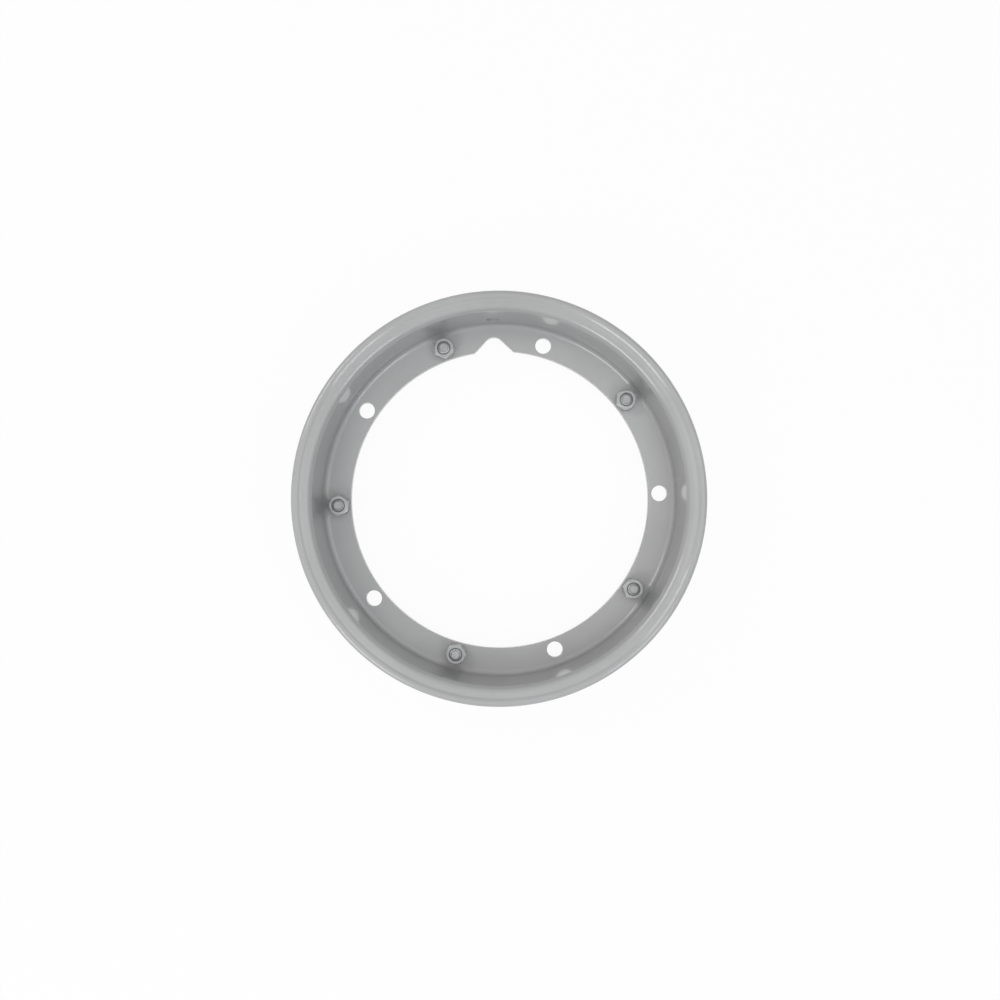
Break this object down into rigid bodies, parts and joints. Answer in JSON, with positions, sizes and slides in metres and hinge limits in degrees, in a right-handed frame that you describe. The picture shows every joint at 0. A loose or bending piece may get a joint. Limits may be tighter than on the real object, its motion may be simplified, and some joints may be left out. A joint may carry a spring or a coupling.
{
  "type": "split wheel rim",
  "caption": "Split pressed-steel scooter wheel rim with a flat bolted web, valve notch, drafted walls and rolled tyre flanges, the halves joined by studs and nuts.",
  "frame": {"origin": "centre of the hub bore on the plane where the two halves meet", "axes": "+Z along the wheel axis towards the nut side, which is the deep half; +Y through the valve notch"},
  "size_m": [0.276, 0.276, 0.0613],
  "materials": {
    "rim_paint": "gloss",
    "zinc_fastener": "satin"
  },
  "bodies": {
    "root": {"deep_rim_half": "rim_paint", "shallow_rim_half": "rim_paint", "studs": "zinc_fastener", "spring_washers": "zinc_fastener", "nuts": "zinc_fastener"}
  },
  "joints": []
}
